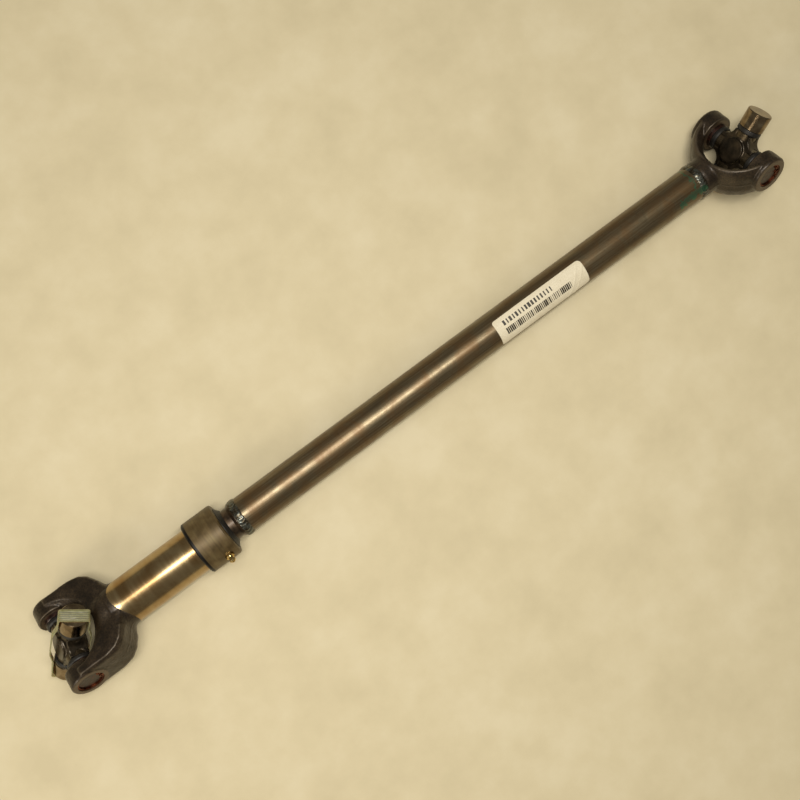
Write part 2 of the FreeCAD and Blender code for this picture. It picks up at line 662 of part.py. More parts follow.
def cup_strap():
    """A flat band looped over both free cups of the slip joint, to keep them on."""
    name = "cup_strap"

    def loop(word, grow, half):
        side = f"CupRadius + StrapGap + {grow}"
        end = f"CupEnd + StrapGap + {grow}"
        bow = f"StrapBow + {grow}"
        quarter = [(side, end), (side, "CupMouth + 1"), (bow, "StrapBowHalf")]
        corners = quarter + [(across, f"0 - ( {up} )") for across, up in reversed(quarter)]
        corners += [(f"0 - ( {across} )", f"0 - ( {up} )") for across, up in quarter]
        corners += [(f"0 - ( {across} )", up) for across, up in reversed(quarter)]
        return extruded(f"{name}_{word}", corners, "XZ_Plane", half)

    band = cut(name + "_band", loop("outside", "StrapThickness", "StrapHalfWidth"),
               loop("inside", "0", "StrapHalfWidth + 2"))
    aside = FreeCAD.Placement(FreeCAD.Vector(0, size("StrapShift"), 0), FreeCAD.Rotation())
    keep(band, name, cross_frame("slip") * turn(Z_AXIS, size("StrapTwist")) * aside)


def check_and_write():
    doc.recompute()
    for item in doc.Objects:
        if "Invalid" in item.State or "Error" in item.State:
            raise RuntimeError(f"{item.Name} did not compute: {item.State}")
    for item in SUB_PARTS:
        if item.Shape.isNull() or not item.Shape.isValid():
            raise RuntimeError(f"{item.Label} has no valid shape")
    os.makedirs("parts", exist_ok=True)
    for item in SUB_PARTS:
        item.Shape.exportStep(f"parts/{item.Label}.step")
        print(item.Label, len(item.Shape.Solids), round(item.Shape.Volume, 1))


fill_sheet()
weld_yoke()
slip_yoke()
for joint_name in ("slip", "fixed"):
    joint_cross(joint_name)
    joint_bearings(joint_name)
dust_cap()
sleeve_end_rings()
core_plug()
grease_nipple()
nipple_ball()
nipple_spring()
spline_stub()
shaft_tube()
weld_beads()
part_label()
cup_strap()
check_and_write()
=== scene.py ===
"""The universal joint shaft as it looks: forged, drawn, ground and welded steel, rubber and paper.

Every piece is in metres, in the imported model's frame: X runs along the shaft from the slip
joint's centre to the fixed joint's, and Z is up.  Each yoke has a frame of its own at its
joint's centre, with Y along the ears' axis and X towards the shaft.
"""
import math

import bmesh
import bpy
import numpy as np
from mathutils import Matrix, Vector


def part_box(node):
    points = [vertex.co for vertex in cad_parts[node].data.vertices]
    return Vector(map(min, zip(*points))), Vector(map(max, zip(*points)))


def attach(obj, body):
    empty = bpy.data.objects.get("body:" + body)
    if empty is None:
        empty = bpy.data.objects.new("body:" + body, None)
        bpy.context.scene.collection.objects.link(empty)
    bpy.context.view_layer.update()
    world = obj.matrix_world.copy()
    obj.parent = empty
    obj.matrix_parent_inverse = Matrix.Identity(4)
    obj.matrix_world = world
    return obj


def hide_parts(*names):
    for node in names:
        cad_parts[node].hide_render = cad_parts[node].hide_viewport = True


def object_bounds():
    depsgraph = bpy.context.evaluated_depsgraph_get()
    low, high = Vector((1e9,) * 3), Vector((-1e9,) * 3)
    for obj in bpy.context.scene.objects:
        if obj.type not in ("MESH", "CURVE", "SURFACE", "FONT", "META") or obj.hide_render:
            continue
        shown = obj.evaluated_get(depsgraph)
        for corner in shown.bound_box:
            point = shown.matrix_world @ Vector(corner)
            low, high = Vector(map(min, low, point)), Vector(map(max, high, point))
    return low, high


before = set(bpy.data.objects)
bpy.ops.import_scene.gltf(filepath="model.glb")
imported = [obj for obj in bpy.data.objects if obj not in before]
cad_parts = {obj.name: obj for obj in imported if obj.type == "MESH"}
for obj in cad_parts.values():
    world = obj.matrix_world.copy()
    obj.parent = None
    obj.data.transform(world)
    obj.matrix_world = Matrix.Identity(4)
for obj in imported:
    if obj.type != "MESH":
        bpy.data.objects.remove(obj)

CAD_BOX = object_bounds()
MM = 0.001
scene = bpy.context.scene


# ------------------------------------------------------------------ sizes and places

ROLL = math.radians(30)          # both yokes are turned this far about the shaft
SLIP_TILT = math.radians(34.7)   # the crosses lean this far in their yokes
FIXED_TILT = math.radians(41.1)

# All sizes from here on are in millimetres.
CUP_RADIUS = 13.5
CUP_END = 46.05
CUP_MOUTH = 27.0
EAR_FACE = 48.6
EAR_INNER = 31.0
SLIP_EAR_RADIUS = 19.0
SLIP_THROAT = 33.0
WELD_EAR_RADIUS = 20.5
WELD_THROAT = 35.5
JOURNAL_RADIUS = 8.1
JOURNAL_START = 21.0
ROOT_RADIUS = 11.0
ROOT_START = 15.5
TRUNNION_END = 41.5
HEAD_END = 57.0                  # where the slip yoke's forged head ends, over its throat
SKIN_REACH = 11.0                # how much further its rough skin runs on towards the ears
HEAD_CUT = HEAD_END + SKIN_REACH + 2    # where the head's copy is cut off, inside the sleeve
SLEEVE_RADIUS = 23.8
SLEEVE_BORE = 17.0
SLEEVE_END = 178.5
SLEEVE_EDGE = 0.5                # the chamfer on its open end
PLUG_END = 48.0                  # the bore is closed by a plug up to here
COLLAR_START = 150.0
TUBE_RADIUS = 19.05
YOKE_VOXEL = 0.85                # how finely the forged copies are meshed
CROSS_VOXEL = 0.65


def centre_of(*names):
    """The middle of the box round some CAD nodes."""
    corners = [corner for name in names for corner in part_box(name)]
    lowest = Vector([min(corner[i] for corner in corners) for i in range(3)])
    highest = Vector([max(corner[i] for corner in corners) for i in range(3)])
    return (lowest + highest) / 2


SLIP_CENTRE = centre_of("slip_cup_ear_upper", "slip_cup_ear_lower")
FIXED_CENTRE = centre_of("fixed_cup_ear_upper", "fixed_cup_ear_lower")
SLIP_FRAME = Matrix.Translation(SLIP_CENTRE) @ Matrix.Rotation(-ROLL, 4, "X")
FIXED_FRAME = Matrix.Translation(FIXED_CENTRE) @ Matrix.Rotation(-ROLL, 4, "X")
SLIP_CROSS_FRAME = SLIP_FRAME @ Matrix.Rotation(SLIP_TILT, 4, "Y")
FIXED_CROSS_FRAME = FIXED_FRAME @ Matrix.Rotation(FIXED_TILT, 4, "Y")
WELD_YOKE_FRAME = FIXED_FRAME @ Matrix.Rotation(math.pi, 4, "Z")


# ------------------------------------------------------------------ node trees

class Graph:
    """A node tree in the making."""

    def add(self, kind, inputs=(), **settings):
        """Add a node with its settings, and its inputs' values or links."""
        made = self.tree.nodes.new(kind)
        for name, value in settings.items():
            setattr(made, name, value)
        for name, value in dict(inputs).items():
            if isinstance(value, bpy.types.Node):
                value = value.outputs[0]
            if isinstance(value, bpy.types.NodeSocket):
                self.tree.links.new(value, made.inputs[name])
            else:
                made.inputs[name].default_value = value
        return made

    def sum(self, operation, *values):
        """One step of arithmetic on numbers or sockets."""
        return self.add("ShaderNodeMath", dict(enumerate(values)), operation=operation)


# ------------------------------------------------------------------ materials

NOISE_LOW = 0.3                  # nearly all of a noise's values lie between these two
NOISE_HIGH = 0.7
WAVE_OF_ONE_MM = math.pi / 10    # a wave texture's scale for bands 1 mm apart


def linear(colour):
    """An sRGB hex colour such as "a08050" as linear RGBA."""
    channels = [int(colour[i:i + 2], 16) / 255 for i in (0, 2, 4)]
    return tuple(c / 12.92 if c <= 0.04045 else ((c + 0.055) / 1.055) ** 2.4
                 for c in channels) + (1.0,)


class Finish(Graph):
    """A material in the making: its shader, and Object coordinates counted in millimetres."""

    def __init__(self, name, shader):
        self.material = bpy.data.materials.new(name)
        self.material.use_nodes = True
        self.tree = self.material.node_tree
        self.tree.nodes.clear()
        self.shader = self.add("ShaderNodeBsdfPrincipled", shader)
        self.add("ShaderNodeOutputMaterial", {"Surface": self.shader})
        metres = self.add("ShaderNodeTexCoord").outputs["Object"]
        self.place = self.add("ShaderNodeMapping", {"Vector": metres, "Scale": (1 / MM,) * 3})

    def stretched(self, *scale):
        """The same coordinates, with patterns drawn out where the scale is small."""
        return self.add("ShaderNodeMapping", {"Vector": self.place, "Scale": scale})

    def parts(self):
        """The three coordinates, each by itself."""
        return self.add("ShaderNodeSeparateXYZ", {"Vector": self.place}).outputs

    def attribute(self, name):
        """An amount that is stored in the mesh, and is nought where there is none."""
        return self.add("ShaderNodeAttribute", attribute_name=name).outputs["Fac"]

    def noise(self, size, detail, at=None, **inputs):
        """Noise with patches about so many mm wide."""
        return self.add("ShaderNodeTexNoise", {"Vector": at or self.place, "Scale": 1 / size,
                                               "Detail": detail, **inputs})

    def ramp(self, value, *shades):
        """A colour for a value, from pairs of a place between 0 and 1 and a hex colour."""
        made = self.add("ShaderNodeValToRGB", {"Fac": value})
        for place, colour in shades[1:-1]:
            made.color_ramp.elements.new(place).color = linear(colour)
        for end in (0, -1):
            place, colour = shades[end]
            made.color_ramp.elements[end].position = place
            made.color_ramp.elements[end].color = linear(colour)
        return made

    def between(self, value, low, high, start=NOISE_LOW, stop=NOISE_HIGH):
        """A number that goes from low to high as the value goes from start to stop."""
        return self.add("ShaderNodeMapRange", {"Value": value, "From Min": start,
                                               "From Max": stop, "To Min": low, "To Max": high})

    def mix(self, amount, first, second, way="MIX"):
        """Two colours mixed, of which the second may be a hex colour."""
        if isinstance(second, str):
            second = linear(second)
        return self.add("ShaderNodeMixRGB", {"Fac": amount, "Color1": first, "Color2": second},
                        blend_type=way)

    def bump(self, height, strength, depth, over=None):
        """Fine relief of so many mm, which may lie over another relief."""
        inputs = {"Height": height, "Strength": strength, "Distance": depth * MM}
        if over:
            inputs["Normal"] = over
        return self.add("ShaderNodeBump", inputs)

    def lathe_rings(self, spacing, distortion, **inputs):
        """Bands along X, so many mm apart."""
        return self.add("ShaderNodeTexWave", {
            "Vector": self.place, "Scale": WAVE_OF_ONE_MM / spacing, "Distortion": distortion,
            **inputs}, bands_direction="X")

    def give(self, **links):
        """Link nodes to the shader's own sockets, named with _ for a space."""
        for name, value in links.items():
            self.tree.links.new(value.outputs[0], self.shader.inputs[name.replace("_", " ")])
        return self.material


def forged_steel():
    """Drop forged carbon steel, shot blasted and dipped in oil: a dark brown skin, grainy, with a
    dull shine, rubbed brighter on its edges, where a painted highlight also lightens the ridges,
    and bare metal where it was machined."""
    forged = Finish("forged_carbon_steel", {"Metallic": 0.5, "Coat Weight": 0.3,
                                            "Coat Roughness": 0.28})
    blotches = forged.noise(14, 5, Roughness=0.6)
    skin = forged.ramp(blotches, (0.28, "2a2015"), (0.45, "3a2d1d"), (0.58, "463827"),
                       (0.72, "564834"))
    grit = forged.noise(1.6, 4, Roughness=0.7)
    speckle = forged.ramp(grit, (0.35, "8c8c8c"), (0.65, "ffffff"))
    scale = forged.mix(1.0, skin, speckle, "MULTIPLY")
    # Proud edges turn lighter: partly rubbed bare steel, partly a painted highlight along the
    # ridges.
    rubbed_and_highlit = forged.between(forged.attribute("worn_and_highlit"), 0.0, 0.3, 0.35, 1.0)
    edges = forged.mix(rubbed_and_highlit, scale, "8f8069")
    bare = forged.ramp(grit, (0.3, "42352a"), (0.7, "625039"))
    colour = forged.mix(forged.attribute("machined"), edges, bare)
    pits = forged.bump(grit, 0.55, 0.14)
    return forged.give(Base_Color=colour, Roughness=forged.between(blotches, 0.36, 0.56),
                       Normal=forged.bump(blotches, 0.5, 0.8, pits))


def cross_steel():
    """Case hardened alloy steel: black from the furnace, with ground journals."""
    cross = Finish("case_hardened_steel", {"Metallic": 0.85, "Coat Weight": 0.2,
                                           "Coat Roughness": 0.15})
    blotches = cross.noise(9, 5)
    skin = cross.ramp(blotches, (0.3, "231e17"), (0.5, "3a3226"), (0.7, "544837"))
    grit = cross.noise(1.2, 3)
    ground = cross.ramp(grit, (0.3, "3d3326"), (0.7, "655841"))
    colour = cross.mix(cross.attribute("machined"), skin, ground)
    return cross.give(Base_Color=colour, Roughness=cross.between(blotches, 0.26, 0.44),
                      Normal=cross.bump(grit, 0.35, 0.08))


def paint_marks(finish, under):
    """Green inspector's paint near the fixed end: part of a ring round the tube, and a run of
    paint along it, both on the upper half only."""
    ring_at, ring_half_width, ring_edge = 780.5, 1.3, -7.0
    run_at, run_half_length = 775.0, 19.0
    run_side, run_half_width = -11.5, 2.8
    x, y, z = finish.parts()
    ragged = finish.noise(7, 5, Roughness=0.7)
    wander = finish.between(ragged, -9, 9, 0.0, 1.0)
    along = finish.sum("ADD", x, wander)
    sideways = finish.sum("ADD", y, wander)
    ring = finish.sum("MULTIPLY", finish.sum("COMPARE", along, ring_at, ring_half_width),
                      finish.sum("GREATER_THAN", y, ring_edge))
    run = finish.sum("MULTIPLY", finish.sum("COMPARE", sideways, run_side, run_half_width),
                     finish.sum("COMPARE", along, run_at, run_half_length))
    marks = finish.sum("MAXIMUM", ring, run)
    seen = finish.sum("MULTIPLY", marks, finish.sum("GREATER_THAN", z, 0.0))
    thickness = finish.between(ragged, 0.35, 0.8, 0.3, 0.6)
    return finish.mix(finish.sum("MULTIPLY", seen, thickness), under, "3c7257")


def tube_steel():
    """Cold drawn mild steel tube under a film of oil: drawn streaks along its length, brown
    freckles where the oil ran thin, and one long soft shine."""
    tube = Finish("cold_drawn_mild_steel", {"Metallic": 0.8, "Coat Weight": 0.25,
                                            "Coat Roughness": 0.25})
    streaks = tube.noise(2.2, 6, tube.stretched(0.03, 1, 1), Roughness=0.65)
    clouds = tube.noise(26, 6, Roughness=0.62, Distortion=0.6)
    metal = tube.ramp(streaks, (0.3, "594c37"), (0.48, "685b44"), (0.62, "766a52"),
                      (0.78, "847a63"))
    brown = tube.ramp(clouds, (0.42, "000000"), (0.62, "b8b8b8"))
    stained = tube.mix(brown, metal, "664620")
    freckles = tube.noise(3, 3, Roughness=0.55)
    spots = tube.ramp(freckles, (0.62, "000000"), (0.72, "808080"))
    spotted = tube.mix(spots, stained, "2f2416")
    grooves = tube.bump(streaks, 0.22, 0.08)
    return tube.give(Base_Color=paint_marks(tube, spotted),
                     Roughness=tube.between(clouds, 0.3, 0.46),
                     Normal=tube.bump(clouds, 0.5, 0.5, grooves))


def weld_metal():
    """Arc weld metal, left as it froze: grey with a blue and straw bloom, glassy in spots."""
    weld = Finish("arc_weld_metal", {"Metallic": 0.9})
    bloom = weld.ramp(weld.noise(6, 5), (0.3, "2e291f"), (0.45, "4d4638"), (0.55, "626763"),
                      (0.7, "6e624b"))
    grit = weld.noise(1.5, 3)
    return weld.give(Base_Color=paint_marks(weld, bloom),
                     Roughness=weld.between(grit, 0.18, 0.42), Normal=weld.bump(grit, 0.5, 0.15))


def sleeve_steel():
    """Turned and polished steel with a thin brown oil film: fine rings and a hard white shine."""
    sleeve = Finish("polished_turned_steel", {"Metallic": 1.0})
    rings = sleeve.lathe_rings(1.4, 0.6, **{"Detail": 3, "Detail Scale": 0.2})
    bands = sleeve.noise(3.5, 4, sleeve.stretched(1, 0.08, 0.08))
    film = sleeve.noise(22, 5, Distortion=0.8)
    metal = sleeve.ramp(bands, (0.3, "a58d66"), (0.7, "b5a17c"))
    stained = sleeve.ramp(film, (0.4, "000000"), (0.65, "b0b0b0"))
    return sleeve.give(Base_Color=sleeve.mix(stained, metal, "80561f"),
                       Roughness=sleeve.between(bands, 0.22, 0.27),
                       Normal=sleeve.bump(rings, 0.12, 0.01))


def turned_steel():
    """A collar turned from bar and left in the rack: olive brown tarnish over lathe rings, with
    painted shade darkening its end towards the slip joint, where it meets the sleeve.
    """
    collar = Finish("tarnished_turned_steel", {"Metallic": 0.45, "Coat Weight": 0.1,
                                               "Coat Roughness": 0.35})
    # Painted shade: a near-black band over the first few mm of the collar, at its end by the
    # sleeve.
    rim = collar.between(collar.parts()["X"], 0.0, 1.0, COLLAR_START, COLLAR_START + 4)
    painted_rim_shade = collar.ramp(rim, (0.78, "221a12"), (0.95, "ffffff"))
    bands = collar.noise(2.4, 5, collar.stretched(1, 0.1, 0.1))
    clouds = collar.noise(12, 5)
    metal = collar.ramp(clouds, (0.3, "544426"), (0.5, "675535"), (0.7, "786845"))
    shade = collar.ramp(bands, (0.3, "b4b4b4"), (0.7, "ffffff"))
    turned = collar.mix(0.6, metal, shade, "MULTIPLY")
    return collar.give(Base_Color=collar.mix(1.0, turned, painted_rim_shade, "MULTIPLY"),
                       Roughness=collar.between(clouds, 0.42, 0.56),
                       Normal=collar.bump(bands, 0.25, 0.05))


def stub_steel():
    """The stub shaft's turned neck, reddish brown with a bloom of rust under old grease."""
    stub = Finish("greased_rusty_steel", {"Metallic": 0.6, "Coat Weight": 0.3,
                                          "Coat Roughness": 0.25})
    clouds = stub.noise(7, 5)
    metal = stub.ramp(clouds, (0.3, "2a1f15"), (0.5, "453524"), (0.7, "5f4c37"))
    return stub.give(Base_Color=metal, Roughness=stub.between(clouds, 0.3, 0.55),
                     Normal=stub.bump(stub.lathe_rings(1.0, 1.0), 0.3, 0.04))


def cup_steel():
    """Ground bearing steel cups, with a straw brown film of preserving oil."""
    cup = Finish("ground_bearing_steel", {"Metallic": 1.0})
    film = cup.noise(8, 4, Distortion=0.5)
    metal = cup.ramp(film, (0.3, "665642"), (0.5, "84735b"), (0.7, "9b8b72"))
    return cup.give(Base_Color=metal, Roughness=cup.between(film, 0.13, 0.24),
                    Normal=cup.bump(cup.noise(0.9, 3), 0.2, 0.03))


def tarnished_cup_steel():
    """The cups in the ears: the same steel, brown to black under grease and dust."""
    cup = Finish("greased_bearing_steel", {"Metallic": 0.5, "Coat Weight": 0.25,
                                           "Coat Roughness": 0.2})
    film = cup.noise(4, 5, Distortion=0.7)
    metal = cup.ramp(film, (0.3, "120b08"), (0.5, "26150f"), (0.7, "45261a"))
    return cup.give(Base_Color=metal, Roughness=cup.between(film, 0.25, 0.45),
                    Normal=cup.bump(film, 0.8, 0.6))


def bright_steel(name, dark, light, rough_from, rough_to, grain):
    """Small metal pieces that differ in colour, polish and grain only."""
    steel = Finish(name, {"Metallic": 1.0})
    film = steel.noise(grain, 4)
    metal = steel.ramp(film, (0.3, dark), (0.7, light))
    return steel.give(Base_Color=metal, Roughness=steel.between(film, rough_from, rough_to),
                      Normal=steel.bump(film, 0.25, 0.05))


def soft_plastic(name, dark, light, roughness, grain, shader):
    """Rubber and nylon: a dull skin with fine mottling, and painted shade darkening the grooves of
    a mesh that has its grooves marked."""
    plastic = Finish(name, {"Roughness": roughness, **shader})
    mottling = plastic.noise(grain, 5)
    clean = plastic.ramp(mottling, (0.35, dark), (0.7, light))
    # Painted shade: the marked grooves are darkened towards a dark olive.
    groove_shade = plastic.between(plastic.attribute("groove"), 0.0, 0.75, 0.0, 1.0)
    return plastic.give(Base_Color=plastic.mix(groove_shade, clean, "3a3523"),
                        Normal=plastic.bump(mottling, 0.3, 0.06))


def label_paper():
    """Uncoated label paper, cream with age, its fibres just showing, with stains of grease."""
    paper = Finish("uncoated_label_paper", {"Roughness": 0.62, "Sheen Weight": 0.1})
    fibres = paper.noise(1.1, 5, Roughness=0.7)
    grease = paper.noise(16, 4)
    sheet = paper.ramp(fibres, (0.3, "d6cbb0"), (0.7, "f1e9d2"))
    stain = paper.ramp(grease, (0.5, "000000"), (0.75, "707070"))
    return paper.give(Base_Color=paper.mix(stain, sheet, "b49f74"),
                      Normal=paper.bump(fibres, 0.3, 0.04))


def label_ink():
    """Black ribbon ink, thin enough in places for the paper to grey it."""
    ink = Finish("ribbon_ink", {"Roughness": 0.5})
    return ink.give(Base_Color=ink.ramp(ink.noise(2.0, 4), (0.35, "1d1913"), (0.7, "4c4536")))


def floor_board():
    """Cream painted board: faint grey and brown smudges under a flat finish."""
    board = Finish("cream_painted_board", {"Roughness": 0.75})
    smudges = board.noise(60, 6, Roughness=0.6)
    return board.give(Base_Color=board.ramp(smudges, (0.3, "d2c6a4"), (0.5, "d9cdab"),
                                            (0.7, "dfd4b4")))


FINISHES = {
    "forged_steel": forged_steel(),
    "cross_steel": cross_steel(),
    "tube_steel": tube_steel(),
    "weld_metal": weld_metal(),
    "turned_steel": turned_steel(),
    "stub_steel": stub_steel(),
    "cup_steel": cup_steel(),
    "plate_steel": bright_steel("pressed_sheet_steel", "5c5344", "8b8271", 0.35, 0.5, 5.0),
    "bearing_steel": bright_steel("polished_roller_steel", "a9a294", "cfc9bc", 0.1, 0.2, 2.0),
    "spring_steel": bright_steel("bronzed_spring_steel", "4e2617", "7d472c", 0.3, 0.45, 3.0),
    "nipple_brass": bright_steel("plated_brass", "a8894e", "dcc48c", 0.14, 0.26, 2.5),
    "seal_rubber": soft_plastic("nitrile_rubber", "100f0d", "26231e", 0.5, 2.5, {}),
    "washer_nylon": soft_plastic("filled_nylon", "c8bf9e", "ded6b8", 0.5, 3.0,
                                 {"Subsurface Weight": 0.1}),
    "strap_nylon": soft_plastic("natural_nylon", "878157", "a8a178", 0.42, 4.0,
                                {"Subsurface Weight": 0.15, "Coat Weight": 0.15}),
    "label_paper": label_paper(),
}


def finish_the_cad_nodes():
    """Give every CAD node the finish that its slot in the record is named for."""
    held_cup = tarnished_cup_steel()
    for name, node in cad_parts.items():
        for slot in node.material_slots:
            slot.material = FINISHES[slot.material.name.split(".")[0]]
            if "cup_ear" in name:
                slot.material = held_cup


# ------------------------------------------------------------------ making pieces

def keep_piece(name, mesh, body, slot, replaced, finish=None):
    """Put a finished mesh in the scene, riding on its body in place of its CAD nodes."""
    mesh.name = name
    mesh.materials.clear()
    mesh.materials.append(finish or FINISHES[slot])
    made = bpy.data.objects.new(name, mesh)
    scene.collection.objects.link(made)
    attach(made, body)
    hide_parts(*replaced)


def baked(mesh, modifiers):
    """The mesh that is left when some modifiers have been applied to it."""
    holder = bpy.data.objects.new("holder", mesh)
    scene.collection.objects.link(holder)
    for kind, settings in modifiers:
        modifier = holder.modifiers.new(kind, kind)
        for name, value in settings.items():
            if kind == "NODES" and name != "node_group":
                modifier[name] = value
            else:
                setattr(modifier, name, value)
    seen = holder.evaluated_get(bpy.context.evaluated_depsgraph_get())
    result = bpy.data.meshes.new_from_object(seen)
    bpy.data.objects.remove(holder)
    return result


def closed_mesh(name, points, faces):
    """A closed mesh, all of whose faces look outwards."""
    mesh = bpy.data.meshes.new(name)
    mesh.from_pydata(points, [], faces)
    shape = bmesh.new()
    shape.from_mesh(mesh)
    bmesh.ops.recalc_face_normals(shape, faces=shape.faces)
    shape.to_mesh(mesh)
    shape.free()
    return mesh


def hoop_faces(sections, rim):
    """The faces between closed sections of rim points each, set one after another in a ring."""
    return [(i * rim + j, i * rim + (j + 1) % rim,
             (i + 1) % sections * rim + (j + 1) % rim, (i + 1) % sections * rim + j)
            for i in range(sections) for j in range(rim)]


def smooth(mesh, sharp_above):
    """Shade a mesh smooth, except over edges that turn by more than so many degrees."""
    mesh.shade_smooth()
    mesh.set_sharp_from_angle(angle=math.radians(sharp_above))


def lathe(name, profile, around=128):
    """A closed shell turned about X: the profile is a closed run of (station, radius) in mm."""
    angles = [2 * math.pi * i / around for i in range(around)]
    points = [(x * MM, r * MM * math.cos(a), r * MM * math.sin(a))
              for a in angles for x, r in profile]
    mesh = closed_mesh(name, points, hoop_faces(around, len(profile)))
    smooth(mesh, 35)
    return mesh


def lumps(points, size, seed):
    """A seeded smooth random height, about -1 to 1, with bumps about so many mm apart."""
    waves = 28
    dice = np.random.default_rng(seed)
    ways = dice.normal(size=(waves, 3))
    ways *= (2 * math.pi / size) / np.linalg.norm(ways, axis=1)[:, None]
    phases = dice.uniform(0, 2 * math.pi, waves)
    return np.sin(points @ ways.T + phases).sum(axis=1) / math.sqrt(waves)


# ------------------------------------------------------------------ forged pieces

class Forging:
    """A closed copy of a CAD node, with its edges rounded as a die and a blast leave them.

    Points are in millimetres in the piece's own frame while it is worked on."""

    def __init__(self, node, place, voxel, end=None):
        """Copy a node, cut it off at a station when an end is given, and mesh it finely."""
        self.place = place
        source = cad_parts[node].data.copy()
        source.transform(Matrix.Scale(1 / MM, 4) @ place.inverted())
        shape = bmesh.new()
        shape.from_mesh(source)
        bmesh.ops.remove_doubles(shape, verts=shape.verts, dist=1e-3)
        if end is not None:
            everything = shape.verts[:] + shape.edges[:] + shape.faces[:]
            bmesh.ops.bisect_plane(shape, geom=everything, plane_co=(end, 0, 0),
                                   plane_no=(1, 0, 0), clear_outer=True)
            bmesh.ops.holes_fill(shape, edges=shape.edges)
        shape.to_mesh(source)
        shape.free()
        self.mesh = baked(source, [("REMESH", {"mode": "VOXEL", "voxel_size": voxel})])
        self.points = np.empty(len(self.mesh.vertices) * 3)
        self.mesh.vertices.foreach_get("co", self.points)
        self.points = self.points.reshape(-1, 3)
        self.edges = np.empty(len(self.mesh.edges) * 2, dtype=np.int64)
        self.mesh.edges.foreach_get("vertices", self.edges)
        self.edges = self.edges.reshape(-1, 2)
        self.worn_and_highlit = np.zeros(len(self.points))

    def neighbours(self, values):
        """The mean of the values at each point's neighbours."""
        total = np.zeros_like(values)
        number = np.zeros(len(values))
        for here, there in ((0, 1), (1, 0)):
            np.add.at(total, self.edges[:, here], values[self.edges[:, there]])
            np.add.at(number, self.edges[:, here], 1)
        return total / (number[:, None] if values.ndim == 2 else number)

    def write(self):
        """Bring the mesh up to date with the points."""
        self.mesh.vertices.foreach_set("co", self.points.ravel())
        self.mesh.update()

    def normals(self):
        """The outward direction at each point."""
        self.write()
        found = np.empty(len(self.points) * 3)
        self.mesh.vertices.foreach_get("normal", found)
        return found.reshape(-1, 3)

    def round_edges(self, fixed, passes):
        """Relax every point that isn't fixed, a little at a time."""
        for _ in range(passes):
            step = 0.5 * (self.neighbours(self.points) - self.points)
            self.points += step * (~fixed)[:, None]

    def roughen(self, fixed, seed):
        """Low swellings and blast marks, which fade out towards machined faces."""
        free = (~fixed).astype(float)
        for _ in range(4):
            free = np.minimum(free, self.neighbours(free))
        height = 0.11 * lumps(self.points, 11, seed) + 0.05 * lumps(self.points, 3.2, seed + 1)
        self.points += self.normals() * (height * free)[:, None]

    def find_worn_and_highlit_edges(self):
        """How far each point stands proud of its neighbours: the edges that get rubbed, and that
        are lightened with a painted highlight.
        """
        proud = ((self.points - self.neighbours(self.points)) * self.normals()).sum(axis=1)
        for _ in range(2):
            proud = 0.5 * proud + 0.5 * self.neighbours(proud)
        full_wear_and_highlight = 0.09
        self.worn_and_highlit = np.clip(proud / full_wear_and_highlight, 0, 1)

    def finished(self, machined):
        """The mesh in the shaft's frame, with its worn and machined amounts as attributes."""
        self.write()
        for name, values in (("machined", machined.astype(np.float32)), ("worn_and_highlit", self.worn_and_highlit)):
            layer = self.mesh.attributes.new(name, "FLOAT", "POINT")
            layer.data.foreach_set("value", values)
        self.mesh.transform(self.place @ Matrix.Scale(MM, 4))
        smooth(self.mesh, 50)
        return self.mesh


def machine_the_ears(points, ear_radius):
    """Where the tools cut a yoke: the cup bores, and the ears' inner and outer faces.
    Returns the points moved onto those faces, and which they are."""
    moved = points.copy()
    reach = np.hypot(points[:, 0], points[:, 2])
    height = np.abs(points[:, 1])
    bored = (np.abs(reach - CUP_RADIUS) < 1.4) & (height > EAR_INNER - 1)
    for axis in (0, 2):
        moved[bored, axis] *= CUP_RADIUS / reach[bored]
    cut = bored.copy()
    for level, rim in ((EAR_FACE, ear_radius - 1.4), (EAR_INNER, ear_radius - 2.5)):
        faced = (np.abs(height - level) < 0.75) & (reach < rim)
        moved[faced, 1] = np.sign(points[faced, 1]) * level
        cut |= faced
    return moved, cut


def machine_the_cross(points):
    """Where a cross is ground: its journals, their roots and their ends.
    Returns the points moved onto those faces, and which they are."""
    moved = points.copy()
    cut = np.zeros(len(points), dtype=bool)
    for along, first, second in ((1, 0, 2), (2, 0, 1)):
        height = np.abs(points[:, along])
        reach = np.hypot(points[:, first], points[:, second])
        for radius, start in ((JOURNAL_RADIUS, JOURNAL_START), (ROOT_RADIUS, ROOT_START)):
            turned = (np.abs(reach - radius) < 0.7) & (height > start)
            for axis in (first, second):
                moved[turned, axis] *= radius / reach[turned]
            cut |= turned
        ended = (height > TRUNNION_END - 0.6) & (reach < JOURNAL_RADIUS - 0.8)
        moved[ended, along] = np.sign(points[ended, along]) * TRUNNION_END
        cut |= ended
    return moved, cut


def parting_flash(forging, cut, throat):
    """The low trimmed ridge that the die's two halves leave round the outside of a yoke."""
    ridge_height, ridge_width = 0.28, 0.9
    x, y, z = forging.points.T
    outside = (np.hypot(x, y) > throat + 6) & (np.abs(y) < EAR_FACE - 3) & ~cut
    ridge = ridge_height * np.exp(-(z / ridge_width) ** 2) * outside
    forging.points += forging.normals() * ridge[:, None]


def forge_the_skin(forging, fixed, cut, moved, throat, seed):
    """Give a yoke its rubbed edges, which also carry a painted highlight, its parting line and
    blast marks, and true its cut faces.
    """
    forging.find_worn_and_highlit_edges()
    parting_flash(forging, fixed, throat)
    forging.roughen(fixed, seed)
    forging.points[cut] = moved[cut]


def sleeve_radius(station):
    """The turned sleeve's radius: it swells a little where it runs into the forged head."""
    share = np.clip((HEAD_END + 7.5 - station) / 8, 0, 1)
    return SLEEVE_RADIUS + 0.8 * share ** 2 * (1.5 - 0.5 * share)


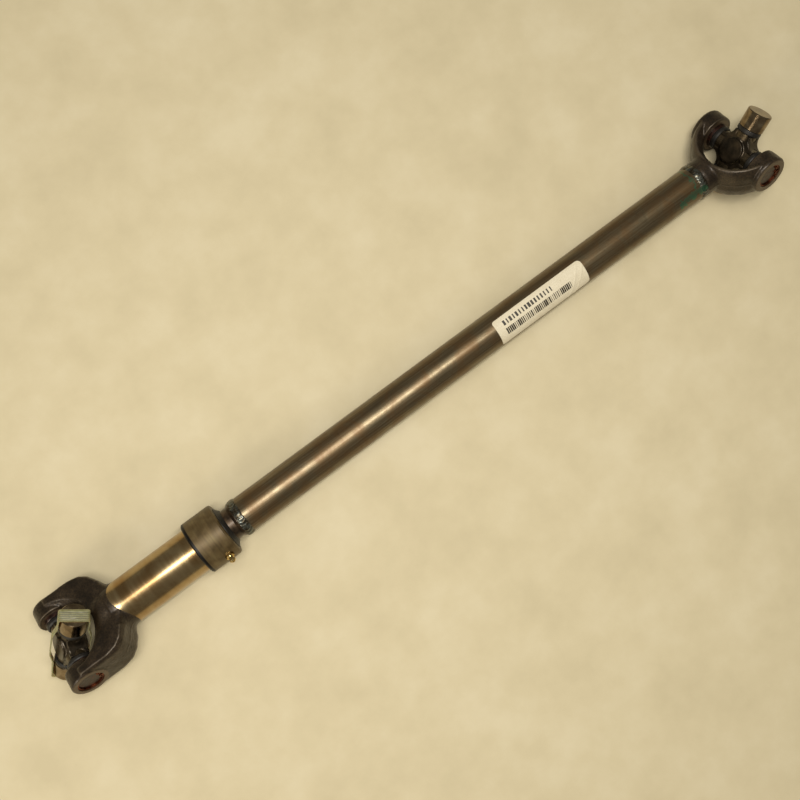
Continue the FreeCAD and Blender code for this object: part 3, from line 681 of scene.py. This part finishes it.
def meet_the_sleeve(points):
    """Let the forged skin end in a clean curved edge, which sinks into the turned sleeve, and
    keep the rounded-off copy of the bore out of the stub shaft's way."""
    x, y, z = points.T
    reach = np.hypot(y, z)
    limit = HEAD_END + SKIN_REACH * (y / reach) ** 2
    near = (x > HEAD_END - 5) & (reach > SLEEVE_RADIUS - 2)
    rise = np.clip((limit - x) / 2.5, -1.2, 0.12)
    wanted = np.where(x < limit - 0.75, np.maximum(reach, sleeve_radius(x) + rise),
                      sleeve_radius(x) + rise)
    wanted = np.where(near, wanted, reach)
    bored = (x > PLUG_END) & (reach < SLEEVE_BORE + 2)
    wanted = np.where(bored, np.maximum(reach, SLEEVE_BORE + 0.3), wanted)
    points[:, 1] *= wanted / reach
    points[:, 2] *= wanted / reach


def slip_yoke_head():
    """The slip yoke's forged head, with a wide fillet where it runs into the sleeve."""
    forging = Forging("slip_yoke", SLIP_FRAME, YOKE_VOXEL, HEAD_CUT)
    moved, cut = machine_the_ears(forging.points, SLIP_EAR_RADIUS)
    fixed = cut | (forging.points[:, 0] > HEAD_CUT - 0.7)
    forging.round_edges(fixed, 4)
    x, y, z = forging.points.T
    root = (x > HEAD_CUT - 38) & (np.abs(y) < 27) & (np.hypot(y, z) > 19)
    forging.round_edges(fixed | ~root, 60)
    forge_the_skin(forging, fixed, cut, moved, SLIP_THROAT, 11)
    meet_the_sleeve(forging.points)
    keep_piece("slip_yoke_head", forging.finished(cut), "slip_sleeve", "forged_steel",
               ["slip_yoke"])


def weld_yoke():
    """The forged yoke at the tube's other end."""
    forging = Forging("weld_yoke", WELD_YOKE_FRAME, YOKE_VOXEL)
    moved, cut = machine_the_ears(forging.points, WELD_EAR_RADIUS)
    forging.round_edges(cut, 4)
    forge_the_skin(forging, cut, cut, moved, WELD_THROAT, 23)
    keep_piece("weld_yoke_forging", forging.finished(cut), "tube_shaft", "forged_steel",
               ["weld_yoke"])


def cross(name, node, place, body):
    """A joint's cross: forged in the middle and ground on its four trunnions."""
    forging = Forging(node, place, CROSS_VOXEL)
    moved, cut = machine_the_cross(forging.points)
    forging.round_edges(cut, 5)
    forging.points[cut] = moved[cut]
    keep_piece(name, forging.finished(cut), body, "cross_steel", [node])


def sleeve():
    """The slip yoke's long sleeve, from inside the forged head to its open end."""
    profile = [(HEAD_END - 3, SLEEVE_BORE), (SLEEVE_END, SLEEVE_BORE),
               (SLEEVE_END, SLEEVE_RADIUS - SLEEVE_EDGE),
               (SLEEVE_END - SLEEVE_EDGE, SLEEVE_RADIUS)]
    for i in range(25):
        station = HEAD_END + 9 - i * 0.5
        profile.append((station, float(sleeve_radius(station))))
    keep_piece("slip_yoke_sleeve", lathe("sleeve", profile), "slip_sleeve",
               "forged_steel", ["slip_yoke"], sleeve_steel())


# ------------------------------------------------------------------ weld beads

class Recipe(Graph):
    """A geometry node tree in the making, with named inputs for its sizes."""

    def __init__(self, name, sizes):
        self.tree = bpy.data.node_groups.new(name, "GeometryNodeTree")
        self.keys = {}
        for label, kind in [("Geometry", "Geometry")] + [(size, "Float") for size in sizes]:
            socket = self.tree.interface.new_socket(
                label, in_out="INPUT", socket_type="NodeSocket" + kind)
            self.keys[label] = socket.identifier
        self.tree.interface.new_socket(
            "Geometry", in_out="OUTPUT", socket_type="NodeSocketGeometry")
        self.sizes = self.tree.nodes.new("NodeGroupInput").outputs

    def mesh(self, geometry, finish, sizes):
        """Close the tree, run it with these sizes, and return the plain mesh that it makes."""
        real = self.add("GeometryNodeRealizeInstances", {"Geometry": geometry})
        coloured = self.add("GeometryNodeSetMaterial", {"Geometry": real, "Material": finish})
        self.add("NodeGroupOutput", {"Geometry": coloured})
        settings = {"node_group": self.tree}
        settings.update({self.keys[label]: value for label, value in sizes.items()})
        return baked(bpy.data.meshes.new("start"), [("NODES", settings)])


def ripples(recipe, place):
    """How far each point of a plain bead is raised: overlapping crescents on an uneven run."""
    size = recipe.sizes
    parts = recipe.add("ShaderNodeSeparateXYZ", {"Vector": place}).outputs
    turn = recipe.sum("ARCTAN2", parts["Z"], parts["Y"])
    share = recipe.sum("DIVIDE", parts["X"], size["Half width"])
    bend = recipe.sum("MULTIPLY", recipe.sum("MULTIPLY", share, share), 0.55)
    count = recipe.sum("MULTIPLY", turn, recipe.sum("DIVIDE", size["Ripples"], 2 * math.pi))
    wander = recipe.add("ShaderNodeTexNoise", {
        "Vector": place, "W": size["Seed"], "Scale": 1 / (9 * MM)}, noise_dimensions="4D")
    uneven = recipe.sum("MULTIPLY", wander, 2.6)
    phase = recipe.sum("ADD", recipe.sum("ADD", count, bend), uneven)
    crest = recipe.sum("ABSOLUTE", recipe.sum("SINE", recipe.sum("MULTIPLY", phase, math.pi)))
    ripple = recipe.sum("MULTIPLY", crest, 0.36 * MM)
    swell = recipe.sum("MULTIPLY", recipe.sum("SUBTRACT", wander, 0.66), 1.5 * MM)
    return recipe.sum("ADD", ripple, swell)


def weld_bead(node, body, seed):
    """A bead of overlapping crescent ripples, laid round the tube in one pass."""
    low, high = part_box(node)
    recipe = Recipe(node, ["Middle", "Radius", "Half width", "Height", "Ripples", "Seed"])
    size = recipe.sizes
    ring = recipe.add("GeometryNodeCurvePrimitiveCircle", {
        "Resolution": 720, "Radius": size["Radius"]})
    section = recipe.add("GeometryNodeCurvePrimitiveCircle", {"Resolution": 28, "Radius": 1.0})
    flat = recipe.add("ShaderNodeCombineXYZ", {
        "X": size["Height"], "Y": size["Half width"], "Z": 1.0})
    oval = recipe.add("GeometryNodeTransform", {"Geometry": section, "Scale": flat})
    hoop = recipe.add("GeometryNodeCurveToMesh", {"Curve": ring, "Profile Curve": oval})
    upright = recipe.add("GeometryNodeTransform", {
        "Geometry": hoop, "Rotation": (0, math.pi / 2, 0)})
    place = recipe.add("GeometryNodeInputPosition")
    outward = recipe.add("ShaderNodeVectorMath", {0: place, 1: (0, 1, 1)}, operation="MULTIPLY")
    unit = recipe.add("ShaderNodeVectorMath", {0: outward}, operation="NORMALIZE")
    rise = recipe.add("ShaderNodeVectorMath", {0: unit, "Scale": ripples(recipe, place)},
                      operation="SCALE")
    rippled = recipe.add("GeometryNodeSetPosition", {"Geometry": upright, "Offset": rise})
    along = recipe.add("ShaderNodeCombineXYZ", {"X": size["Middle"]})
    placed = recipe.add("GeometryNodeTransform", {"Geometry": rippled, "Translation": along})
    mesh = recipe.mesh(placed, FINISHES["weld_metal"], {
        "Middle": (low.x + high.x) / 2, "Radius": 18.6 * MM, "Half width": (high.x - low.x) / 2,
        "Height": 1.45 * MM, "Ripples": 24.0, "Seed": float(seed)})
    smooth(mesh, 60)
    keep_piece(node + "_rippled", mesh, body, "weld_metal", [node])


# ------------------------------------------------------------------ cup strap

STRAP_GAP = 0.3
STRAP_THICKNESS = 0.8
STRAP_HALF_WIDTH = 6.7
STRAP_LIP = 1.0
STRAP_RIBS = 5
STRAP_BOW = 17.7                 # how far out its legs stand where they pass the cross
STRAP_BOW_HALF = 15.0
STRAP_TWIST = math.radians(-23.5)
STRAP_SHIFT = -1.6


def rounded_loop(corners, radius, steps):
    """Closed polyline corners, each replaced by an arc of about that radius."""
    points = []
    count = len(corners)
    for i, corner in enumerate(corners):
        here = Vector(corner)
        before = (Vector(corners[i - 1]) - here)
        after = (Vector(corners[(i + 1) % count]) - here)
        opening = before.angle(after)
        reach = min(radius / math.tan(opening / 2), 0.45 * before.length, 0.45 * after.length)
        first = here + before.normalized() * reach
        last = here + after.normalized() * reach
        for step in range(steps + 1):
            t = step / steps
            points.append((1 - t) ** 2 * first + 2 * t * (1 - t) * here + t ** 2 * last)
    return points


def strap_route():
    """The middle of the band: over both cup ends, and bowed out round the cross between them."""
    clear = STRAP_GAP + STRAP_THICKNESS / 2
    quarter = [(CUP_RADIUS + clear, CUP_END + clear), (CUP_RADIUS + clear, CUP_MOUTH + 1),
               (STRAP_BOW + STRAP_THICKNESS / 2, STRAP_BOW_HALF)]
    corners = quarter + [(x, -z) for x, z in reversed(quarter)]
    corners += [(-x, -z) for x, z in quarter] + [(-x, z) for x, z in reversed(quarter)]
    return rounded_loop([(x, 0, z) for x, z in corners], 2.2, 6)


def strap_section():
    """The band's section as (across, rise), and how deep in a groove each of its points is."""
    steps = 60
    ribbed_width = 2 * STRAP_HALF_WIDTH - 2.4
    profile = []
    grooves = []
    for i in range(steps + 1):
        across = -STRAP_HALF_WIDTH + 2 * STRAP_HALF_WIDTH * i / steps
        rib = 0.5 + 0.5 * math.cos(2 * math.pi * STRAP_RIBS * across / ribbed_width)
        lip = 1.0 if abs(across) > STRAP_HALF_WIDTH - STRAP_LIP else 0.0
        inside = abs(across) < STRAP_HALF_WIDTH - 1.2
        rise = 0.5 * rib if inside else 0.0
        profile.append((across, STRAP_THICKNESS / 2 - 0.3 + rise + 0.5 * lip))
        grooves.append((1 - rib) ** 2 if inside else 0.0)
    profile += [(STRAP_HALF_WIDTH, -STRAP_THICKNESS / 2),
                (-STRAP_HALF_WIDTH, -STRAP_THICKNESS / 2)]
    return profile, grooves + [0.0, 0.0]


def cup_strap():
    """A nylon band looped over both free cups, with five ribs along it and a lip each side.
    Its legs are narrower than its ends."""
    route = strap_route()
    profile, grooves = strap_section()
    points = []
    for i, here in enumerate(route):
        along = (route[(i + 1) % len(route)] - route[i - 1]).normalized()
        outward = Vector((along.z, 0, -along.x))
        if outward.dot(here) < 0:
            outward.negate()
        share = min(1.0, max(0.0, (CUP_END - 1 - abs(here.z)) / 7))
        narrow = 1 - 0.55 * share * share * (3 - 2 * share)
        points += [here + Vector((0, across * narrow, 0)) + outward * rise
                   for across, rise in profile]
    mesh = closed_mesh("strap", points, hoop_faces(len(route), len(profile)))
    layer = mesh.attributes.new("groove", "FLOAT", "POINT")
    layer.data.foreach_set("value", grooves * len(route))
    skew = Matrix.Rotation(STRAP_TWIST, 4, "Z") @ Matrix.Translation((0, STRAP_SHIFT, 0))
    mesh.transform(SLIP_CROSS_FRAME @ Matrix.Scale(MM, 4) @ skew)
    smooth(mesh, 45)
    keep_piece("ribbed_cup_strap", mesh, "slip_spider", "strap_nylon", ["cup_strap"])


# ------------------------------------------------------------------ label

LABEL_START = 519.5
LABEL_END = 632.5
LABEL_THICKNESS = 0.15
LABEL_TURN = (-21.5, 70.0)       # degrees from the top of the tube, towards -Y
LABEL_WIDTH = math.radians(LABEL_TURN[1] - LABEL_TURN[0]) * 19.1
LABEL_ROUNDS = (3.0, 4.5)        # the radius of the corners at its start and at its end
LABEL_CREASES = ((LABEL_END - 3, 1.1), (LABEL_END + 5, 0.8))    # place and width, slanting
PRINT_LEVEL = 0.165              # the middle of the ink, just over the paper


def on_tube(station, across, height):
    """A point over the tube: across is measured round it from the label's upper edge, in mm."""
    angle = math.radians(LABEL_TURN[0]) + across / TUBE_RADIUS
    radius = TUBE_RADIUS + height
    return Vector((station, -radius * math.sin(angle), radius * math.cos(angle))) * MM


def label_point(along, wide, layer):
    """A point of the sheet, at a share of its length and of its width, in a layer of it."""
    across = LABEL_WIDTH * wide
    insets = []
    for radius in LABEL_ROUNDS:
        short = max(0.0, radius - min(across, LABEL_WIDTH - across))
        insets.append(radius - math.sqrt(radius ** 2 - short ** 2))
    first = LABEL_START + insets[0]
    last = LABEL_END - insets[1]
    station = first + (last - first) * along
    slant = station + 0.8 * across
    crease = 0.0
    for place, width in LABEL_CREASES:
        crease += 0.3 * math.exp(-((slant - place) / width) ** 2)
    return on_tube(station, across, layer + crease)


def sheet_faces(length, width):
    """The faces of a sheet of two layers, so many squares long and wide, closed at its rim."""
    row = width + 1
    layer = row * (length + 1)
    faces = []
    for i in range(length):
        for j in range(width):
            corner = i * row + j
            faces.append((corner, corner + 1, corner + row + 1, corner + row))
            faces.append(tuple(layer + k for k in
                               (corner, corner + row, corner + row + 1, corner + 1)))
    border = ([i * row for i in range(length + 1)]
              + [length * row + j for j in range(1, row)]
              + [i * row + width for i in range(length - 1, -1, -1)]
              + list(range(width - 1, 0, -1)))
    for here, there in zip(border, border[1:] + border[:1]):
        faces.append((here, there, there + layer, here + layer))
    return faces


def paper_label():
    """The label: a thin sheet rolled on the tube, its corners rounded, creased near one end."""
    length, width = 190, 60
    points = [label_point(i / length, j / width, layer) for layer in (LABEL_THICKNESS, 0.01)
              for i in range(length + 1) for j in range(width + 1)]
    mesh = closed_mesh("label", points, sheet_faces(length, width))
    smooth(mesh, 50)
    keep_piece("paper_label", mesh, "tube_shaft", "label_paper", ["part_label"])


def print_row(name, ink, sizes):
    """A row of generic printed bars of uneven width, rolled on the label."""
    recipe = Recipe(name, list(sizes))
    size = recipe.sizes
    begin = recipe.add("ShaderNodeCombineXYZ", {"X": size["Start"], "Y": size["Across"]})
    pitch = recipe.add("ShaderNodeCombineXYZ", {
        "X": recipe.sum("DIVIDE", size["Length"], size["Count"])})
    line = recipe.add("GeometryNodeMeshLine", {
        "Count": size["Count"], "Start Location": begin, "Offset": pitch})
    bar = recipe.add("GeometryNodeMeshCube", {
        "Size": (1, 1, 0.04), "Vertices X": 2, "Vertices Y": 9, "Vertices Z": 2})
    wide = recipe.add("FunctionNodeRandomValue", {
        2: size["Least"], 3: size["Most"], "Seed": size["Seed"]}, data_type="FLOAT")
    scale = recipe.add("ShaderNodeCombineXYZ", {
        "X": wide.outputs[1], "Y": size["Tall"], "Z": 1.0})
    row = recipe.add("GeometryNodeInstanceOnPoints", {
        "Points": line, "Instance": bar, "Scale": scale})
    mesh = recipe.mesh(row, ink, sizes)
    for vertex in mesh.vertices:
        station, across, height = vertex.co
        vertex.co = on_tube(LABEL_START + station, across, PRINT_LEVEL + height)
    keep_piece(name, mesh, "tube_shaft", "label_paper", ["part_label"], ink)


def label_print():
    """What stands on the label: a row of blocks, and a row of fine bars below it."""
    ink = label_ink()
    print_row("label_blocks", ink, {"Start": 11.0, "Across": 7.6, "Length": 64.0, "Tall": 5.2,
                                    "Count": 16.0, "Least": 1.2, "Most": 3.1, "Seed": 4.0})
    print_row("label_bars", ink, {"Start": 10.0, "Across": 17.1, "Length": 84.0, "Tall": 7.4,
                                  "Count": 40.0, "Least": 0.4, "Most": 1.8, "Seed": 3.0})


# ------------------------------------------------------------------ stage

def camera():
    """Looking down on the shaft, turned so that it runs from lower left to upper right."""
    data = bpy.data.cameras.new("camera")
    data.sensor_width = 36.0
    data.lens = 48.4
    made = bpy.data.objects.new("camera", data)
    scene.collection.objects.link(made)
    made.location = (0.2748, -0.0037, 1.0854)
    made.rotation_euler = [math.radians(angle) for angle in (4.074, -5.222, -36.648)]
    scene.camera = made


def floor():
    """The board that the shaft lies on."""
    half = 4.0
    level = CAD_BOX[0].z
    mesh = bpy.data.meshes.new("floor")
    mesh.from_pydata([(-half, -half, level), (half, -half, level), (half, half, level),
                      (-half, half, level)], [], [(0, 1, 2, 3)])
    mesh.materials.append(floor_board())
    made = bpy.data.objects.new("floor", mesh)
    scene.collection.objects.link(made)


def area_light(name, place, aim, size, power, colour):
    """A soft lamp at a place, aimed at another, with its size in metres and power in watts."""
    data = bpy.data.lights.new(name, "AREA")
    data.shape = "RECTANGLE"
    data.size, data.size_y = size
    data.energy = power
    data.color = linear(colour)[:3]
    made = bpy.data.objects.new(name, data)
    scene.collection.objects.link(made)
    made.location = place
    made.rotation_mode = "QUATERNION"
    made.rotation_quaternion = (Vector(aim) - Vector(place)).to_track_quat("-Z", "Y")


def lights():
    """A narrow strip over the shaft, a wide soft lamp higher up, one at the side, and a dim
    room."""
    middle = (CAD_BOX[0] + CAD_BOX[1]) / 2
    area_light("key", (0.33, 0.03, 1.3), (0.33, 0.03, 0), (0.8, 0.07), 7.5, "fffaf2")
    area_light("overhead", (0.35, 0.12, 2.3), middle, (1.2, 0.9), 20.0, "fff8ea")
    area_light("side", (-1.3, -0.5, 1.0), middle, (0.6, 0.6), 10.0, "fff4e0")
    world = bpy.data.worlds.new("room")
    world.use_nodes = True
    back = world.node_tree.nodes["Background"]
    back.inputs["Color"].default_value = linear("dcd5c4")
    back.inputs["Strength"].default_value = 0.26
    scene.world = world
    scene.view_settings.view_transform = "Standard"


# ------------------------------------------------------------------ the whole thing

finish_the_cad_nodes()
slip_yoke_head()
sleeve()
weld_yoke()
cross("slip_cross_forging", "slip_cross", SLIP_CROSS_FRAME, "slip_spider")
cross("fixed_cross_forging", "fixed_cross", FIXED_CROSS_FRAME, "fixed_spider")
weld_bead("weld_bead_stub", "tube_shaft", 5)
weld_bead("weld_bead_yoke", "tube_shaft", 8)
cup_strap()
paper_label()
label_print()
floor()
lights()
camera()
